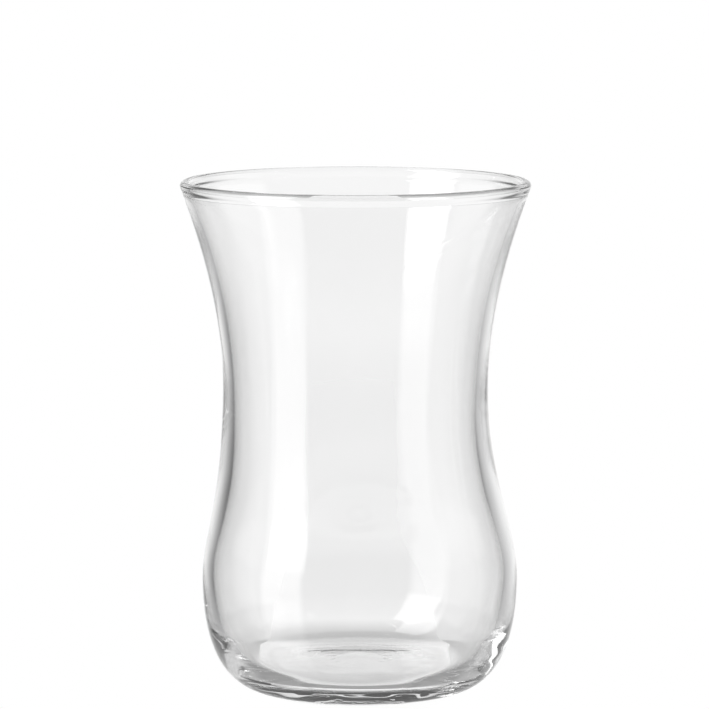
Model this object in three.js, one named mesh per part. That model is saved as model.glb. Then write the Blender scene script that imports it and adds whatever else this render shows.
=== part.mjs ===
// Tulip-shaped tea glass: one body of clear glass with a thick base and a rounded lip.
// Millimetres, +Z up. The origin is on the table, straight below the centre of the rim.
import * as THREE from 'three';

// Lip: a round bead on top of the wall
const TOTAL_HEIGHT = 90.8;
const RIM_RADIUS = 31;
const BEAD_RADIUS = 0.9;
const FLARE_ANGLE = 69.6;

// Underside: a flat ring to stand on, hollowed inside it
const FOOT_RADIUS = 17;
const HOLLOW_RADIUS = 12.5;
const HOLLOW_DEPTH = 1.3;

// Inside floor, flat as far as the rounded corner
const FLOOR_THICKNESS = 4.4;
const FLOOR_RADIUS = 16.9;

// The blown body is not quite true: the belly stands to one side of the rim,
// and the hollow inside it a little to the other
const BELLY_OFFSET = 0.75;
const BELLY_OFFSET_BELOW = 26;
const BELLY_TRUE_ABOVE = 50;
const CAVITY_OFFSET = -0.17;
const CAVITY_OFFSET_BELOW = 54;
const CAVITY_TRUE_ABOVE = 63;

const BEAD_CENTRE = { r: RIM_RADIUS - BEAD_RADIUS, z: TOTAL_HEIGHT - BEAD_RADIUS };
const BEAD_START = THREE.MathUtils.degToRad(FLARE_ANGLE - 90);

// Both walls run through stations, from the bottom up. The slope is the angle to the table in degrees,
// below and above are how far the curve keeps to it on either side of the station,
// and steps is the number of straight pieces that lead up to the station.
const OUTSIDE = [
  { r: FOOT_RADIUS, z: 0, slope: 5, above: 9.2 },
  { r: 28, z: 19.9, slope: 90, below: 8.2, above: 8.8, steps: 7 },
  { r: 23.5, z: 54.3, slope: 90, below: 18.1, above: 12.7, steps: 7 },
  {
    r: BEAD_CENTRE.r + BEAD_RADIUS * Math.cos(BEAD_START),
    z: BEAD_CENTRE.z + BEAD_RADIUS * Math.sin(BEAD_START),
    slope: FLARE_ANGLE,
    below: 11,
    steps: 7,
  },
];
const INSIDE = [
  { r: FLOOR_RADIUS, z: FLOOR_THICKNESS, slope: 0, above: 2.3 },
  { r: 21.25, z: 5.5, slope: 47.4, below: 1.9, above: 1.95, steps: 3 },
  { r: 24.6, z: 11.15, slope: 68.8, below: 3.5, above: 1.8, steps: 3 },
  { r: 25.85, z: 20.1, slope: 90, below: 3.2, above: 7.85, steps: 4 },
  { r: 21.5, z: 49.2, slope: 90, below: 16.9, above: 17.9, steps: 7 },
  { r: 29.35, z: 88.6, slope: 69.7, below: 13.1, above: 0.5, steps: 7 },
  { r: BEAD_CENTRE.r - BEAD_RADIUS, z: BEAD_CENTRE.z, slope: 90, below: 0.5, steps: 2 },
];

const STEPS_AROUND = 64;
const BEAD_STEPS = 9;
const HOLLOW_STEPS = 3;

function alongSlope(station, distance) {
  const slope = THREE.MathUtils.degToRad(station.slope);
  return new THREE.Vector2(station.r + distance * Math.cos(slope), station.z + distance * Math.sin(slope));
}

// One cubic curve from station to station, tangent to the slope at each
function wall(stations) {
  const points = [alongSlope(stations[0], 0)];
  for (let i = 1; i < stations.length; i += 1) {
    const curve = new THREE.CubicBezierCurve(
      alongSlope(stations[i - 1], 0),
      alongSlope(stations[i - 1], stations[i - 1].above),
      alongSlope(stations[i], -stations[i].below),
      alongSlope(stations[i], 0),
    );
    points.push(...curve.getSpacedPoints(stations[i].steps).slice(1));
  }
  return points;
}

// The underside rises as a shallow dome from the standing ring to the axis
function underside() {
  const points = [];
  for (let i = 0; i <= HOLLOW_STEPS; i += 1) {
    const r = (HOLLOW_RADIUS * i) / HOLLOW_STEPS;
    points.push(new THREE.Vector2(r, HOLLOW_DEPTH * (1 - (r / HOLLOW_RADIUS) ** 2)));
  }
  return points;
}

// Over the lip, from the outer wall to the inner one
function bead() {
  const points = [];
  for (let i = 1; i < BEAD_STEPS; i += 1) {
    const angle = THREE.MathUtils.lerp(BEAD_START, Math.PI, i / BEAD_STEPS);
    points.push(new THREE.Vector2(
      BEAD_CENTRE.r + BEAD_RADIUS * Math.cos(angle),
      BEAD_CENTRE.z + BEAD_RADIUS * Math.sin(angle),
    ));
  }
  return points;
}

function bellyShift(z) {
  return BELLY_OFFSET * (1 - THREE.MathUtils.smoothstep(z, BELLY_OFFSET_BELOW, BELLY_TRUE_ABOVE));
}

function cavityShift(z) {
  return CAVITY_OFFSET * (1 - THREE.MathUtils.smoothstep(z, CAVITY_OFFSET_BELOW, CAVITY_TRUE_ABOVE));
}

function glassGeometry() {
  const outer = [...underside(), ...wall(OUTSIDE), ...bead()];
  const inner = [...wall(INSIDE).reverse(), new THREE.Vector2(0, FLOOR_THICKNESS)];
  const profile = [...outer, ...inner];
  const geometry = new THREE.LatheGeometry(profile, STEPS_AROUND);
  geometry.rotateX(Math.PI / 2);
  const position = geometry.getAttribute('position');
  for (let i = 0; i < position.count; i += 1) {
    const z = position.getZ(i);
    const isInner = i % profile.length >= outer.length;
    position.setX(i, position.getX(i) + bellyShift(z) + (isInner ? cavityShift(z) : 0));
  }
  geometry.computeVertexNormals();
  return geometry;
}

const clearGlass = new THREE.MeshStandardMaterial({
  color: 0xf1f2f2,
  roughness: 0.03,
  metalness: 0,
  transparent: true,
  opacity: 0.3,
});

const glass = new THREE.Mesh(glassGeometry(), clearGlass);
glass.name = 'glass';

const teaGlass = new THREE.Group();
teaGlass.add(glass);

export default teaGlass;
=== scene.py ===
import math
import bpy
import numpy as np
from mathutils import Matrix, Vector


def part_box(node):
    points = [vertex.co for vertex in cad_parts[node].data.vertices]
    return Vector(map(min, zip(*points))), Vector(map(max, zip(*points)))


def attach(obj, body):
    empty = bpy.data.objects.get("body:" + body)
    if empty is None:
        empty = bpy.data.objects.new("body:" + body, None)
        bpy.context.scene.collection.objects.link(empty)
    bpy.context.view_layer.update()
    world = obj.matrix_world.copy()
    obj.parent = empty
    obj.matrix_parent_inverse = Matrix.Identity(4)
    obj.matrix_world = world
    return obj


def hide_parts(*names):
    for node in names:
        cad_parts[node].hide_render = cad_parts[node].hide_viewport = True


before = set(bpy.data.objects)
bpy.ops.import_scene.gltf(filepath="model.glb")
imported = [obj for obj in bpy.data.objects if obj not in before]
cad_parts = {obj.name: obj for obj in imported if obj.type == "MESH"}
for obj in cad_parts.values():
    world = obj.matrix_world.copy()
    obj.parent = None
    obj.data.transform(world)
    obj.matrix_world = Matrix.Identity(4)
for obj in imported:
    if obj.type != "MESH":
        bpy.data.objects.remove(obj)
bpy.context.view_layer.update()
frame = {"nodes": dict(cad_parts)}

scene = bpy.context.scene
mm = 0.001
print("frame loaded:", ", ".join(frame["nodes"]))


# Colour: each sRGB channel c becomes ((c + 0.055) / 1.055) ^ 2.4, or c / 12.92 near black
def linearColour(hexCode):
    channel = np.array([int(hexCode[i:i + 2], 16) for i in (0, 2, 4)]) / 255
    linear = np.where(channel <= 0.04045, channel / 12.92, ((channel + 0.055) / 1.055) ** 2.4)
    return (*linear.tolist(), 1.0)


# Adds one node: settings are its properties, inputs are values or sockets to link from
def addNode(tree, kind, settings=None, inputs=None):
    node = tree.nodes.new(kind)
    for name, value in (settings or {}).items():
        setattr(node, name, value)
    for socket, value in (inputs or {}).items():
        if isinstance(value, bpy.types.NodeSocket):
            tree.links.new(value, node.inputs[socket])
        else:
            node.inputs[socket].default_value = value
    return node


# Fills a colour ramp with greys: each stop is a place from 0 to 1 and a light
def setStops(ramp, stops):
    for i, (place, light) in enumerate(stops):
        stop = ramp.elements[i] if i < len(ramp.elements) else ramp.elements.new(1)
        stop.position = place
        stop.color = (light, light, light, 1)


# Ease: 0 up to low, 1 from high on, and t * t * (3 - 2 * t) on the way between
def ease(x, low, high):
    t = np.clip((x - low) / (high - low), 0, 1)
    return t * t * (3 - 2 * t)


# Camera as in the photograph: a long lens a little above the rim, looking slightly down
cameraSetup = {
    "distance": 0.850,
    "lookDown": 6.919,          # degrees
    "aimHeight": 59.83 * mm,    # the point on the axis that falls on the middle of the frame
    "sideways": -0.18 * mm,
    "lens": 243.54,             # mm on a 36 mm sensor
}
cameraData = bpy.data.cameras.new("photoCamera")
cameraData.lens = cameraSetup["lens"]
cameraData.clip_start = 0.05
cameraData.clip_end = 20
camera = bpy.data.objects.new("photoCamera", cameraData)
scene.collection.objects.link(camera)
scene.camera = camera
lookDown = math.radians(cameraSetup["lookDown"])
camera.rotation_euler = (math.pi / 2 - lookDown, 0, 0)
camera.location = (
    cameraSetup["sideways"],
    -cameraSetup["distance"] * math.cos(lookDown),
    cameraSetup["aimHeight"] + cameraSetup["distance"] * math.sin(lookDown),
)
print("camera set")


# The glass, in millimetres: height and rim come from the frame, the rest from the part's own sizes
glassLow, glassHigh = (np.array(corner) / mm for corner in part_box("glass"))
glass = {
    "height": glassHigh[2],
    "rimRadius": (glassHigh[0] - glassLow[0]) / 2,
    "beadRadius": 0.9,
    "flareAngle": 69.6,
    "footRadius": 17.0,
    "hollowRadius": 12.5,
    "hollowDepth": 1.3,
    "floorThickness": 4.4,
    "floorRadius": 16.9,
    "bellyOffset": 0.75,            # the belly stands to the right of the rim
    "bellyOffsetRange": (26, 50),   # full below the first height, none above the second
    "cavityOffset": -0.17,          # and the hollow inside a little to the left
    "cavityOffsetRange": (36, 82),
    "aroundSteps": 240,
    "underSteps": 56,               # points along the hollow, the standing ring, the lip and the floor
    "ringSteps": 6,
    "beadSteps": 24,
    "floorSteps": 46,
}
beadCentre = (glass["rimRadius"] - glass["beadRadius"], glass["height"] - glass["beadRadius"])
beadStart = math.radians(glass["flareAngle"] - 90)

# Stations of the two walls from the bottom up: the wall is tangent to the slope (degrees to the table),
# keeps to it for so far below and above, and comes up to the station in so many steps
outerStations = [
    {"r": glass["footRadius"], "z": 0, "slope": 5, "above": 9.2},
    {"r": 28, "z": 19.9, "slope": 90, "below": 8.2, "above": 8.8, "steps": 44},
    {"r": 23.5, "z": 54.3, "slope": 90, "below": 18.1, "above": 12.7, "steps": 36},
    {
        "r": beadCentre[0] + glass["beadRadius"] * math.cos(beadStart),
        "z": beadCentre[1] + glass["beadRadius"] * math.sin(beadStart),
        "slope": glass["flareAngle"], "below": 11, "steps": 40,
    },
]
innerStations = [
    {"r": glass["floorRadius"], "z": glass["floorThickness"], "slope": 0, "above": 2.3},
    {"r": 21.25, "z": 5.5, "slope": 47.4, "below": 1.9, "above": 1.95, "steps": 14},
    {"r": 24.6, "z": 11.15, "slope": 68.8, "below": 3.5, "above": 1.8, "steps": 14},
    {"r": 25.85, "z": 20.1, "slope": 90, "below": 3.2, "above": 7.85, "steps": 20},
    {"r": 21.5, "z": 49.2, "slope": 90, "below": 16.9, "above": 17.9, "steps": 36},
    {"r": 29.35, "z": 88.6, "slope": 69.7, "below": 13.1, "above": 0.5, "steps": 40},
    {"r": beadCentre[0] - glass["beadRadius"], "z": beadCentre[1], "slope": 90, "below": 0.5, "steps": 4},
]


# The point that lies a distance along a station's slope, as (r, z)
def alongSlope(station, distance):
    slope = math.radians(station["slope"])
    return np.array([station["r"] + distance * math.cos(slope), station["z"] + distance * math.sin(slope)])


# Wall: between two stations a cubic (1-t)^3 a + 3 (1-t)^2 t b + 3 (1-t) t^2 c + t^3 d, with b and c on the slopes
def wallProfile(stations):
    stretches = [alongSlope(stations[0], 0)[None]]
    for start, end in zip(stations[:-1], stations[1:]):
        t = np.linspace(0, 1, end["steps"] + 1)[1:, None]
        stretches.append(
            (1 - t) ** 3 * alongSlope(start, 0)
            + 3 * (1 - t) ** 2 * t * alongSlope(start, start["above"])
            + 3 * (1 - t) * t ** 2 * alongSlope(end, -end["below"])
            + t ** 3 * alongSlope(end, 0)
        )
    return np.concatenate(stretches)


# Ripples left by the cooling glass, on the inside floor and low on the inside wall
ripples = {
    "seed": 11,
    "waves": 9,
    "length": (4.5, 11.0),      # mm from crest to crest
    "floorHeight": 0.012,       # mm for each wave
    "floorMargin": 3,           # the floor waves die out this far from its corner
    "wallHeight": 0.008,
    "wallLobes": (3, 5, 8),     # lobes round the wall
    "wallRise": (6, 16),        # heights between which the wall waves begin, and those between which they end
    "wallFall": (60, 80),
    "chatterLength": 3.6,       # fine cross ripples at the back of the belly
    "chatterLean": 2.5,         # mm that they drop in each radian round the wall
    "chatterHeight": 0.012,
    "chatterPlace": (66, 30),   # degrees round from the right, and height
    "chatterSpread": (13, 8),
}

# Relief on the underside: a thin ring and a circle of pips, raised towards the table
underRelief = {
    "ringRadius": 7.6,
    "ringWidth": 0.5,
    "ringHeight": 0.035,
    "pipCount": 18,
    "pipRadius": 5.2,
    "pipWidth": 0.6,
    "pipHeight": 0.06,
}


# Floor ripple at (x, y): a sum of sines, each with its own heading, length and phase
def floorRipple(x, y):
    draw = np.random.default_rng(ripples["seed"])
    heading = draw.uniform(0, math.pi, ripples["waves"])
    length = draw.uniform(*ripples["length"], ripples["waves"])
    phase = draw.uniform(0, 2 * math.pi, ripples["waves"])
    across = x[..., None] * np.cos(heading) + y[..., None] * np.sin(heading)
    return ripples["floorHeight"] * np.sin(2 * math.pi * across / length + phase).sum(axis=-1)


# Wall ripple at (angle, z): slow lobes that drift with height, and fine cross ripples under a bell curve
def wallRipple(angle, z):
    slow = sum(np.sin(lobes * angle + z / (4 + lobes)) for lobes in ripples["wallLobes"])
    turn, height = math.radians(ripples["chatterPlace"][0]), ripples["chatterPlace"][1]
    bell = np.exp(
        -((angle - turn) / math.radians(ripples["chatterSpread"][0])) ** 2
        - ((z - height) / ripples["chatterSpread"][1]) ** 2
    )
    chatter = np.sin(2 * math.pi * (z + ripples["chatterLean"] * angle) / ripples["chatterLength"])
    return ripples["wallHeight"] * slow + ripples["chatterHeight"] * bell * chatter


# Underside relief at (r, angle): a bell curve over the ring, and pips where r and a cosine of the angle peak
def undersideRelief(r, angle):
    ring = underRelief["ringHeight"] * np.exp(-((r - underRelief["ringRadius"]) / underRelief["ringWidth"]) ** 2)
    across = np.exp(-((r - underRelief["pipRadius"]) / underRelief["pipWidth"]) ** 2)
    along = (0.5 + 0.5 * np.cos(underRelief["pipCount"] * angle)) ** 3
    return ring + underRelief["pipHeight"] * across * along


# Profile of the whole glass from the middle of the underside, up the outside, over the lip and down to the floor.
# The hollow underneath is depth * (1 - (r / radius)^2)^1.5, and the lip a circle of the bead's radius.
# Returns the points (r, z) and, for each, which surface it is on: 0 under, 1 outside, 2 inside wall, 3 floor.
def glassProfile():
    underR = np.linspace(0, glass["hollowRadius"], glass["underSteps"])
    underZ = glass["hollowDepth"] * (1 - (underR / glass["hollowRadius"]) ** 2) ** 1.5
    under = np.stack([underR, underZ], axis=1)
    ringR = np.linspace(glass["hollowRadius"], glass["footRadius"], glass["ringSteps"])[1:-1]
    standingRing = np.stack([ringR, np.zeros_like(ringR)], axis=1)
    beadAngle = np.linspace(beadStart, math.pi, glass["beadSteps"])[1:-1, None]
    beadTurn = np.concatenate([np.cos(beadAngle), np.sin(beadAngle)], axis=1)
    bead = np.array(beadCentre) + glass["beadRadius"] * beadTurn
    outer = np.concatenate([standingRing, wallProfile(outerStations), bead])
    inner = wallProfile(innerStations)[::-1]
    floorR = np.linspace(glass["floorRadius"], 0, glass["floorSteps"])[1:]
    floor = np.stack([floorR, np.full_like(floorR, glass["floorThickness"])], axis=1)
    parts = [under, outer, inner, floor]
    surface = np.repeat(np.arange(len(parts)), [len(part) for part in parts])
    return np.concatenate(parts), surface


# Glass surface over (place on the profile, angle): the profile is turned round the axis,
# each height is shifted sideways, and ripples and relief move the points up, down or outwards
def glassSurface():
    profile, surface = glassProfile()
    angle = np.linspace(0, 2 * math.pi, glass["aroundSteps"], endpoint=False)[None, :]
    r, z, surface = profile[:, :1], profile[:, 1:], surface[:, None]
    isInner = surface >= 2
    lowFade = ease(z, *ripples["wallRise"]) * (1 - ease(z, *ripples["wallFall"]))
    radius = r + np.where(surface == 2, lowFade * wallRipple(angle, z), 0)
    x = radius * np.cos(angle)
    y = radius * np.sin(angle)
    floorFade = 1 - ease(r, glass["floorRadius"] - ripples["floorMargin"], glass["floorRadius"])
    height = z + np.where(surface == 3, floorFade * floorRipple(x, y), 0)
    height = height - np.where(surface == 0, undersideRelief(r, angle), 0)
    shift = glass["bellyOffset"] * (1 - ease(z, *glass["bellyOffsetRange"]))
    shift = shift + np.where(isInner, glass["cavityOffset"] * (1 - ease(z, *glass["cavityOffsetRange"])), 0)
    return np.stack([x + shift, y, height], axis=-1) * mm


# Closed mesh from a grid whose first and last rows are single points: quads between rows, fans at the two poles
def turnedMesh(name, grid):
    rows, around = grid.shape[:2]
    points = np.concatenate([grid[0, :1], grid[1:-1].reshape(-1, 3), grid[-1, :1]])
    index = 1 + np.arange((rows - 2) * around).reshape(rows - 2, around)
    following = np.roll(index, -1, axis=1)
    quads = np.stack([index[:-1], following[:-1], following[1:], index[1:]], axis=-1).reshape(-1, 4)
    lowPole, highPole = np.zeros(around, int), np.full(around, len(points) - 1)
    lowFan = np.stack([lowPole, following[0], index[0]], axis=-1)
    highFan = np.stack([index[-1], following[-1], highPole], axis=-1)
    mesh = bpy.data.meshes.new(name)
    mesh.from_pydata(points.tolist(), [], quads.tolist() + lowFan.tolist() + highFan.tolist())
    mesh.polygons.foreach_set("use_smooth", np.ones(len(mesh.polygons), bool))
    mesh.update()
    return mesh


# Soda-lime glass, blown and fire-polished: clear and bright, with a faint grey in its thick base
# and a slight unevenness that makes reflections swim. Uneven patches are about 9 mm across.
def sodaLimeGlass():
    look = {
        "tint": "FFFFFF", "ior": 1.52, "roughness": 0.0, "patch": 9 * mm, "unevenness": 0.02,
        "absorbed": "E7E7E7", "density": 10,
    }
    material = bpy.data.materials.new("sodaLimeGlass")
    material.use_nodes = True
    tree = material.node_tree
    shader = tree.nodes["Principled BSDF"]
    shader.inputs["Base Color"].default_value = linearColour(look["tint"])
    shader.inputs["IOR"].default_value = look["ior"]
    shader.inputs["Roughness"].default_value = look["roughness"]
    shader.inputs["Transmission Weight"].default_value = 1.0
    place = addNode(tree, "ShaderNodeTexCoord")
    patches = addNode(tree, "ShaderNodeTexNoise", {}, {
        "Vector": place.outputs["Object"], "Scale": 1 / look["patch"], "Detail": 1.0,
    })
    bump = addNode(tree, "ShaderNodeBump", {}, {
        "Height": patches.outputs[0], "Strength": look["unevenness"], "Distance": 1 * mm,
    })
    tree.links.new(bump.outputs[0], shader.inputs["Normal"])
    absorption = addNode(tree, "ShaderNodeVolumeAbsorption", {}, {
        "Color": linearColour(look["absorbed"]), "Density": look["density"],
    })
    tree.links.new(absorption.outputs[0], tree.nodes["Material Output"].inputs["Volume"])
    return material


glassMesh = turnedMesh("teaGlass", glassSurface())
glassMesh.materials.append(sodaLimeGlass())
teaGlass = bpy.data.objects.new("teaGlass", glassMesh)
scene.collection.objects.link(teaGlass)
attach(teaGlass, "root")
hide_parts("glass")
print("glass built:", len(glassMesh.vertices), "points")


# The shelf it stands on, in millimetres: a narrow sheet with rounded corners and edges, no wider than the foot
shelf = {
    "halfWidth": 17.6,
    "front": -17.4,
    "back": 350,
    "cornerRadius": 17.4,
    "edgeRadius": 0.3,
    "depth": 1.0,
    "level": -0.05,             # a hair below the standing ring
    "cornerSteps": 24,
    # light of the top: painted shadow of the glass, one under it and one behind it, as stops of light by distance in
    # the reach
    "paintedShadows": [
        {"middle": (0, 0, 0), "reach": (20, 20, 20), "stops": [(0, 0.84), (0.78, 0.82), (0.86, 1.0)]},
        {
            "middle": (0, 27, 0), "reach": (462, 315, 21),
            "stops": [(0, 0.55), (0.029, 0.6), (0.048, 0.88), (0.067, 1.0), (0.19, 0.95), (0.43, 0.94), (1, 0.98)],
        },
    ],
}


# Shelf outline at an angle: a quarter circle round the middle of each corner, drawn in by an inset
def shelfOutline(inset):
    angle = np.arange(4 * shelf["cornerSteps"]) * (math.pi / 2 / shelf["cornerSteps"])
    angle = angle + math.pi / 4 / shelf["cornerSteps"]
    radius = shelf["cornerRadius"] - inset
    middle = (shelf["front"] + shelf["back"]) / 2
    halfLength = (shelf["back"] - shelf["front"]) / 2
    x = np.sign(np.cos(angle)) * (shelf["halfWidth"] - shelf["cornerRadius"]) + radius * np.cos(angle)
    y = middle + np.sign(np.sin(angle)) * (halfLength - shelf["cornerRadius"]) + radius * np.sin(angle)
    return x, y


# Shelf surface: the outline carried down a profile that rounds the top edge and drops straight to the bottom
def shelfMesh():
    turn = np.linspace(math.pi / 2, 0, 7)
    inset = np.append(shelf["edgeRadius"] * (1 - np.cos(turn)), 0)
    drop = shelf["level"] + np.append(shelf["edgeRadius"] * (np.sin(turn) - 1), -shelf["depth"])
    outlines = [shelfOutline(step) for step in inset]
    grid = np.stack([
        np.stack([x, y, np.full_like(x, level)], axis=-1) for (x, y), level in zip(outlines, drop)
    ]) * mm
    rows, around = grid.shape[:2]
    index = np.arange(rows * around).reshape(rows, around)
    following = np.roll(index, -1, axis=1)
    sides = np.stack([index[1:], following[1:], following[:-1], index[:-1]], axis=-1).reshape(-1, 4)
    mesh = bpy.data.meshes.new("paleShelf")
    caps = [index[0].tolist(), index[-1][::-1].tolist()]
    mesh.from_pydata(grid.reshape(-1, 3).tolist(), [], caps + sides.tolist())
    return mesh


# Opal acrylic, cast and lit from within: a white glow with a painted shadow of the glass, darker under the glass and
# behind it.
# The glow is the product of the painted shadows, each read from its stops at |place - middle| / reach.
def opalAcrylicPaintedShadow():
    material = bpy.data.materials.new("opalAcrylicPaintedShadow")
    material.use_nodes = True
    tree = material.node_tree
    shader = tree.nodes["Principled BSDF"]
    shader.inputs["Base Color"].default_value = linearColour("404040")
    shader.inputs["Roughness"].default_value = 1.0
    shader.inputs["Specular IOR Level"].default_value = 0.0
    shader.inputs["Emission Color"].default_value = linearColour("FFFFFF")
    place = addNode(tree, "ShaderNodeTexCoord")
    glowAndPaintedShadow = 1.0
    # painted shadow: each one dims the glow under or behind the glass
    for paintedShadow in shelf["paintedShadows"]:
        middle, reach = (tuple(side * mm for side in paintedShadow[key]) for key in ("middle", "reach"))
        apart = addNode(tree, "ShaderNodeVectorMath", {"operation": "SUBTRACT"}, {
            0: place.outputs["Object"], 1: middle,
        })
        scaled = addNode(tree, "ShaderNodeVectorMath", {"operation": "DIVIDE"}, {0: apart.outputs[0], 1: reach})
        distance = addNode(tree, "ShaderNodeVectorMath", {"operation": "LENGTH"}, {0: scaled.outputs[0]})
        light = addNode(tree, "ShaderNodeValToRGB", {}, {0: distance.outputs["Value"]})
        setStops(light.color_ramp, paintedShadow["stops"])
        glowAndPaintedShadow = addNode(tree, "ShaderNodeMath", {"operation": "MULTIPLY"}, {0: glowAndPaintedShadow, 1: light.outputs[0]}).outputs[0]
    tree.links.new(glowAndPaintedShadow, shader.inputs["Emission Strength"])
    return material


paleMesh = shelfMesh()
paleMesh.materials.append(opalAcrylicPaintedShadow())
paleShelf = bpy.data.objects.new("paleShelf", paleMesh)
scene.collection.objects.link(paleShelf)
print("shelf built")


# The studio all round, as light by direction. Azimuth 0 is behind the glass, + to the right, in degrees.
studio = {
    # a white backdrop that darkens to both sides, and grey walls
    "walls": [
        (-180, 0.12), (-140, 0.12), (-115, 0.26), (-95, 0.38), (-75, 0.28), (-60, 0.14), (-45, 0.13), (-39, 0.2),
        (-31, 0.42), (-23, 0.7), (-15, 0.88), (-7, 1.0), (7, 1.0), (16, 0.95), (20, 0.87), (25, 0.74),
        (31, 0.64), (36, 0.58), (40, 0.46), (45, 0.23), (52, 0.2), (60, 0.3), (75, 0.42), (95, 0.5),
        (115, 0.3), (140, 0.12), (180, 0.12),
    ],
    "overhead": 0.1,
    "overheadRange": (15, 28),
    "below": 0.58,
    "belowRange": (-11.5, -28),
    "deep": 0.36,
    "deepRange": (-30, -42),
    # softboxes: azimuth from and to, softness, elevation from and to, softness at each, brightness
    "softboxes": [
        (-136, -103, 2, -58, -8, 6, 6, 1.3),
        (-136, -103, 2, -11, 50, 15, 3, 1.6),
        (-136, -103, 2, 14, 50, 4, 3, 4.2),
        (-98, -62, 4, 10, 32, 3, 3, 0.75),
        (62, 108, 4, 10, 32, 3, 3, 0.8),
        (81, 83, 0.5, -25, 45, 10, 3, 0.9),
    ],
}
world = bpy.data.worlds.new("studio")
scene.world = world
world.use_nodes = True
tree = world.node_tree
direction = addNode(tree, "ShaderNodeTexCoord")
axes = addNode(tree, "ShaderNodeSeparateXYZ", {}, {0: direction.outputs["Generated"]})
azimuth = addNode(tree, "ShaderNodeMath", {"operation": "ARCTAN2"}, {0: axes.outputs[0], 1: axes.outputs[1]}).outputs[0]
elevation = addNode(tree, "ShaderNodeMath", {"operation": "ARCSINE"}, {0: axes.outputs[2]}).outputs[0]
turns = addNode(tree, "ShaderNodeMath", {"operation": "MULTIPLY_ADD"}, {0: azimuth, 1: 0.5 / math.pi, 2: 0.5})
walls = addNode(tree, "ShaderNodeValToRGB", {}, {0: turns.outputs[0]})
setStops(walls.color_ramp, [(degrees / 360 + 0.5, light) for degrees, light in studio["walls"]])
light = walls.outputs[0]
for level, (start, end) in (
    (studio["overhead"], studio["overheadRange"]),
    (studio["below"], studio["belowRange"]),
    (studio["deep"], studio["deepRange"]),
):
    share = addNode(tree, "ShaderNodeMapRange", {"interpolation_type": "SMOOTHSTEP"}, {
        0: elevation, 1: math.radians(start), 2: math.radians(end),
    })
    light = addNode(tree, "ShaderNodeMix", {}, {0: share.outputs[0], 2: light, 3: level}).outputs[0]
for azFrom, azTo, azSoft, elFrom, elTo, lowSoft, highSoft, brightness in studio["softboxes"]:
    share = None
    for angle, start, end in (
        (azimuth, azFrom - azSoft, azFrom + azSoft),
        (azimuth, azTo + azSoft, azTo - azSoft),
        (elevation, elFrom - lowSoft, elFrom + lowSoft),
        (elevation, elTo + highSoft, elTo - highSoft),
    ):
        edge = addNode(tree, "ShaderNodeMapRange", {"interpolation_type": "SMOOTHSTEP"}, {
            0: angle, 1: math.radians(start), 2: math.radians(end),
        }).outputs[0]
        if share is not None:
            edge = addNode(tree, "ShaderNodeMath", {"operation": "MULTIPLY"}, {0: share, 1: edge}).outputs[0]
        share = edge
    light = addNode(tree, "ShaderNodeMix", {}, {0: share, 2: light, 3: brightness}).outputs[0]
tree.links.new(light, tree.nodes["Background"].inputs["Strength"])
tree.nodes["Background"].inputs["Color"].default_value = linearColour("FFFFFF")
world.cycles.sampling_method = "MANUAL"
world.cycles.sample_map_resolution = 1024
print("studio set")

# Plain picture: no film curve, and enough bounces for light that runs round inside the thick base
scene.view_settings.view_transform = "Standard"
scene.cycles.max_bounces = 96
scene.cycles.transmission_bounces = 96
scene.cycles.glossy_bounces = 64
scene.cycles.diffuse_bounces = 3
scene.cycles.sample_clamp_indirect = 8.0
